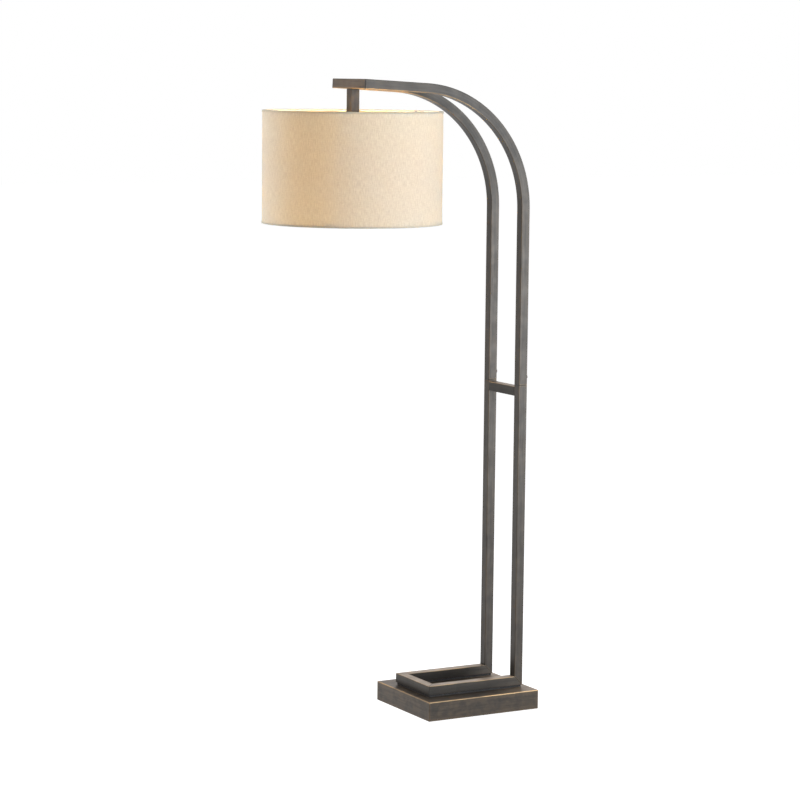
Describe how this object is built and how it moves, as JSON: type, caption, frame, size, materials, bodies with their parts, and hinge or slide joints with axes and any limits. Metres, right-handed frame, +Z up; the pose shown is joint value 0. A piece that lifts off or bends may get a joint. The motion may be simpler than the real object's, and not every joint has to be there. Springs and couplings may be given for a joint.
{
  "type": "floor lamp",
  "caption": "Bridge floor lamp: a floor ring of square tube on a weighted block rises as two posts that arch over to a hanging drum shade.",
  "frame": {"origin": "on the floor under the centre of the base block", "axes": "+Z up, +X from the centre of the base towards the two posts, so the shade hangs towards -X, and +Y to the left of someone who looks along +X"},
  "size_m": [0.7236, 0.4582, 1.6417],
  "materials": {
    "bronze_base": "dark bronze patina over brushed steel, rubbed to a copper gold along its edges",
    "bronze_tube": "dark bronze patina, brushed along the tube, rubbed lighter at its corners",
    "zinc_steel": "zinc plated",
    "black_steel": "satin black",
    "cast_weight": "sand cast, primed grey",
    "felt": "pressed felt",
    "grommet_rubber": "matte",
    "brass": "plain machined",
    "nickel": "nickel plated, satin",
    "phenolic": "moulded, satin",
    "black_glass": "gloss",
    "bulb_glass": "frosted",
    "filament": "lit",
    "lead_sheath": "smooth",
    "shade_wire": "ivory enamel",
    "shade_liner": "translucent film",
    "linen": "natural linen, plain weave with slubs",
    "hem_tape": "folded linen tape"
  },
  "bodies": {
    "lamp_frame": {"floor_pad": "felt", "floor_plate": "zinc_steel", "floor_plate_screws": "zinc_steel", "base_weight": "cast_weight", "base_cover": "bronze_base", "frame_bolts": "zinc_steel", "bolt_washers": "zinc_steel", "ring_packing": "grommet_rubber", "rail_nuts": "zinc_steel", "inlet_grommet": "grommet_rubber", "front_rail": "bronze_tube", "near_rail": "bronze_tube", "far_rail": "bronze_tube", "near_lower_post": "bronze_tube", "far_lower_post": "bronze_tube", "cross_bar": "bronze_tube", "near_joint_insert": "zinc_steel", "far_joint_insert": "zinc_steel", "joint_screws": "bronze_tube", "near_upper_tube": "bronze_tube", "far_upper_tube": "bronze_tube", "head_cross_member": "bronze_tube", "stem": "bronze_tube", "stem_end_plate": "bronze_tube", "socket_nipple": "brass", "nipple_nuts": "brass", "seat_washer": "black_steel", "socket_cap": "phenolic", "socket_body": "phenolic", "screw_shell": "brass", "centre_contact": "brass", "shade_ring_nut": "phenolic", "bulb_glass": "bulb_glass", "bulb_cap": "nickel", "bulb_insulator": "black_glass", "bulb_filament": "filament", "internal_lead": "lead_sheath"},
    "switch_key": {"switch_key": "phenolic"},
    "shade": {"spider_hub": "shade_wire", "spider_arms": "shade_wire", "shade_top_ring": "shade_wire", "shade_bottom_ring": "shade_wire", "shade_liner": "shade_liner", "shade_fabric": "linen", "shade_top_hem": "hem_tape", "shade_bottom_hem": "hem_tape"}
  },
  "joints": [
    {"name": "shade_turn", "type": "hinge", "parent": "lamp_frame", "child": "shade", "pos_m": [-0.3272, 0, 1.5046], "axis": [0, 0, 1], "continuous": true},
    {"name": "key_turn", "type": "hinge", "parent": "lamp_frame", "child": "switch_key", "pos_m": [-0.3272, -0.02, 1.5185], "axis": [0, -1, 0], "continuous": true}
  ]
}
